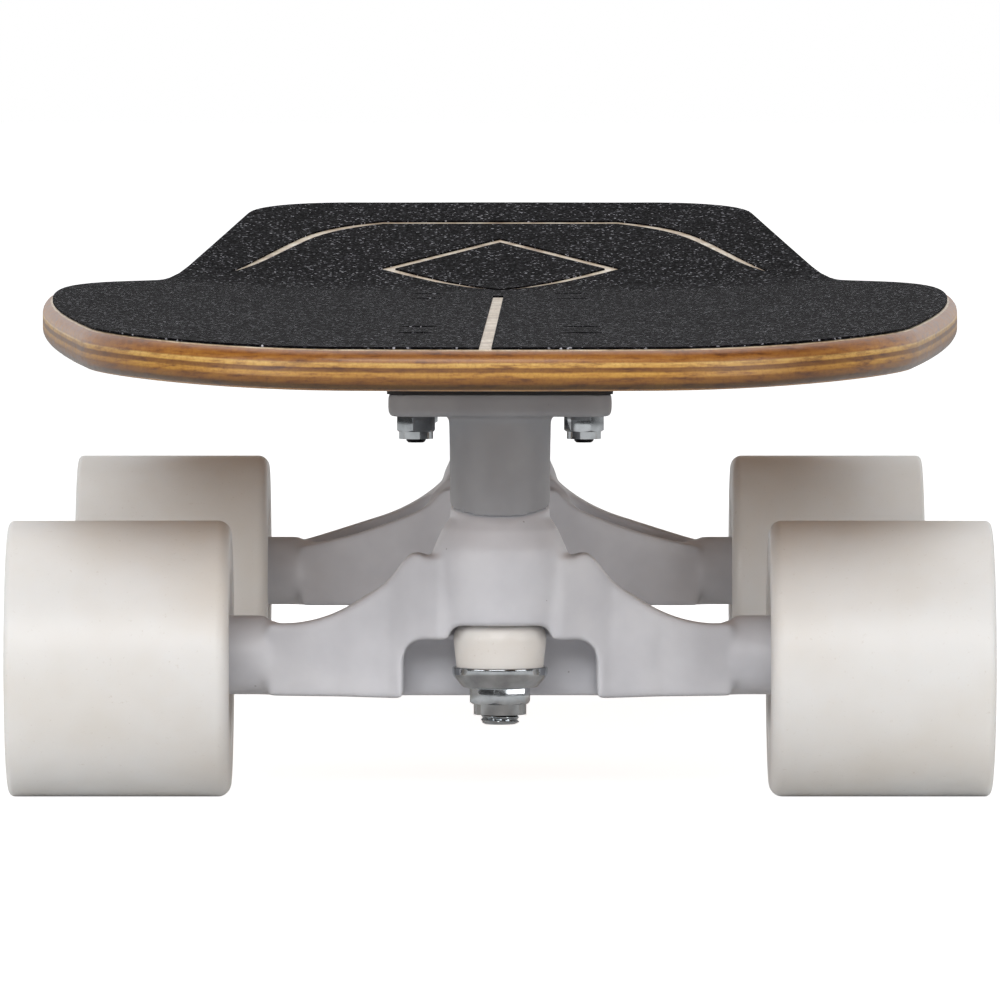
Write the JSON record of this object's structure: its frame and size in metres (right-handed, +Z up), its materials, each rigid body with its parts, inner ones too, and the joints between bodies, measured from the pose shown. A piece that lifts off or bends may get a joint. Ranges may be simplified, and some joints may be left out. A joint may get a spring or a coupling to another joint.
{
  "type": "skateboard",
  "caption": "Cruising skateboard: laminated kicktail deck with grip tape, turning trucks with urethane bushings, and wide soft wheels on sealed ball bearings.",
  "frame": {"origin": "on the floor under the middle of the bounding box, between the two axles", "axes": "+Z up, +Y from the nose towards the kicked tail, X along the axles"},
  "size_m": [0.2422, 0.8399, 0.1378],
  "materials": {
    "deck_wood": "bamboo and maple plies under clear varnish",
    "grip_tape": "fine black silicon-carbide grit",
    "riser_rubber": "matt black",
    "painted_casting": "pale lilac-grey powder coat on cast aluminium",
    "cup_urethane": "smooth cream urethane",
    "zinc_steel": "bright zinc plate",
    "black_steel": "black oxide",
    "axle_steel": "ground steel",
    "bushing_urethane": "smooth cream urethane",
    "wheel_urethane": "smooth off-white cast urethane",
    "core_plastic": "moulded white nylon",
    "bearing_steel": "polished",
    "cage_nylon": "moulded",
    "shield_rubber": "smooth black seal"
  },
  "bodies": {
    "board": {"deck": "deck_wood", "front_baseplate": "painted_casting", "front_deck_bolts": "black_steel", "front_deck_nuts": "zinc_steel", "front_kingpin": "zinc_steel", "front_kingpin_nut": "zinc_steel", "front_lower_bushing": "bushing_urethane", "front_lower_washer": "zinc_steel", "front_pivot_cup": "cup_urethane", "front_riser_pad": "riser_rubber", "front_upper_bushing": "bushing_urethane", "griptape": "grip_tape", "griptape_diamond": "grip_tape", "rear_baseplate": "painted_casting", "rear_deck_bolts": "black_steel", "rear_deck_nuts": "zinc_steel", "rear_kingpin": "zinc_steel", "rear_kingpin_nut": "zinc_steel", "rear_lower_bushing": "bushing_urethane", "rear_lower_washer": "zinc_steel", "rear_pivot_cup": "cup_urethane", "rear_riser_pad": "riser_rubber", "rear_upper_bushing": "bushing_urethane"},
    "front_hanger_assembly": {"front_hanger": "painted_casting", "front_axle": "axle_steel", "front_axle_nuts": "zinc_steel", "front_speed_washers": "zinc_steel", "front_bearing_spacers": "bearing_steel", "front_bearing_inner_rings": "bearing_steel"},
    "rear_hanger_assembly": {"rear_hanger": "painted_casting", "rear_axle": "axle_steel", "rear_axle_nuts": "zinc_steel", "rear_speed_washers": "zinc_steel", "rear_bearing_spacers": "bearing_steel", "rear_bearing_inner_rings": "bearing_steel"},
    "front_left_wheel": {"front_left_tyre": "wheel_urethane", "front_left_core": "core_plastic", "front_left_bearing_outer_rings": "bearing_steel", "front_left_bearing_shields": "shield_rubber"},
    "front_left_ball_sets": {"front_left_bearing_balls": "bearing_steel", "front_left_bearing_cages": "cage_nylon"},
    "front_right_wheel": {"front_right_tyre": "wheel_urethane", "front_right_core": "core_plastic", "front_right_bearing_outer_rings": "bearing_steel", "front_right_bearing_shields": "shield_rubber"},
    "front_right_ball_sets": {"front_right_bearing_balls": "bearing_steel", "front_right_bearing_cages": "cage_nylon"},
    "rear_left_wheel": {"rear_left_tyre": "wheel_urethane", "rear_left_core": "core_plastic", "rear_left_bearing_outer_rings": "bearing_steel", "rear_left_bearing_shields": "shield_rubber"},
    "rear_left_ball_sets": {"rear_left_bearing_balls": "bearing_steel", "rear_left_bearing_cages": "cage_nylon"},
    "rear_right_wheel": {"rear_right_tyre": "wheel_urethane", "rear_right_core": "core_plastic", "rear_right_bearing_outer_rings": "bearing_steel", "rear_right_bearing_shields": "shield_rubber"},
    "rear_right_ball_sets": {"rear_right_bearing_balls": "bearing_steel", "rear_right_bearing_cages": "cage_nylon"}
  },
  "joints": [
    {"name": "front_lean", "type": "hinge", "parent": "board", "child": "front_hanger_assembly", "pos_m": [0, -0.294, 0.047], "axis": [0, 0.7771, 0.6293], "range_deg": [-12, 12], "stiffness_Nm_per_rad": 80, "deforming": ["front_lower_bushing", "front_upper_bushing"]},
    {"name": "rear_lean", "type": "hinge", "parent": "board", "child": "rear_hanger_assembly", "pos_m": [0, 0.198, 0.047], "axis": [0, -0.7771, 0.6293], "range_deg": [-12, 12], "stiffness_Nm_per_rad": 80, "deforming": ["rear_lower_bushing", "rear_upper_bushing"]},
    {"name": "front_left_wheel_spin", "type": "hinge", "parent": "front_hanger_assembly", "child": "front_left_wheel", "pos_m": [0.0937, -0.273, 0.034], "axis": [1, 0, 0], "continuous": true},
    {"name": "front_left_ball_spin", "type": "hinge", "parent": "front_hanger_assembly", "child": "front_left_ball_sets", "pos_m": [0.0937, -0.273, 0.034], "axis": [1, 0, 0], "continuous": true},
    {"name": "front_right_wheel_spin", "type": "hinge", "parent": "front_hanger_assembly", "child": "front_right_wheel", "pos_m": [-0.0937, -0.273, 0.034], "axis": [1, 0, 0], "continuous": true},
    {"name": "front_right_ball_spin", "type": "hinge", "parent": "front_hanger_assembly", "child": "front_right_ball_sets", "pos_m": [-0.0937, -0.273, 0.034], "axis": [1, 0, 0], "continuous": true},
    {"name": "rear_left_wheel_spin", "type": "hinge", "parent": "rear_hanger_assembly", "child": "rear_left_wheel", "pos_m": [0.0937, 0.177, 0.034], "axis": [1, 0, 0], "continuous": true},
    {"name": "rear_left_ball_spin", "type": "hinge", "parent": "rear_hanger_assembly", "child": "rear_left_ball_sets", "pos_m": [0.0937, 0.177, 0.034], "axis": [1, 0, 0], "continuous": true},
    {"name": "rear_right_wheel_spin", "type": "hinge", "parent": "rear_hanger_assembly", "child": "rear_right_wheel", "pos_m": [-0.0937, 0.177, 0.034], "axis": [1, 0, 0], "continuous": true},
    {"name": "rear_right_ball_spin", "type": "hinge", "parent": "rear_hanger_assembly", "child": "rear_right_ball_sets", "pos_m": [-0.0937, 0.177, 0.034], "axis": [1, 0, 0], "continuous": true}
  ],
  "couplings": [
    {"joint": "front_left_ball_spin", "follows": "front_left_wheel_spin", "ratio": 0.6303},
    {"joint": "front_right_ball_spin", "follows": "front_right_wheel_spin", "ratio": 0.6303},
    {"joint": "rear_left_ball_spin", "follows": "rear_left_wheel_spin", "ratio": 0.6303},
    {"joint": "rear_right_ball_spin", "follows": "rear_right_wheel_spin", "ratio": 0.6303}
  ]
}
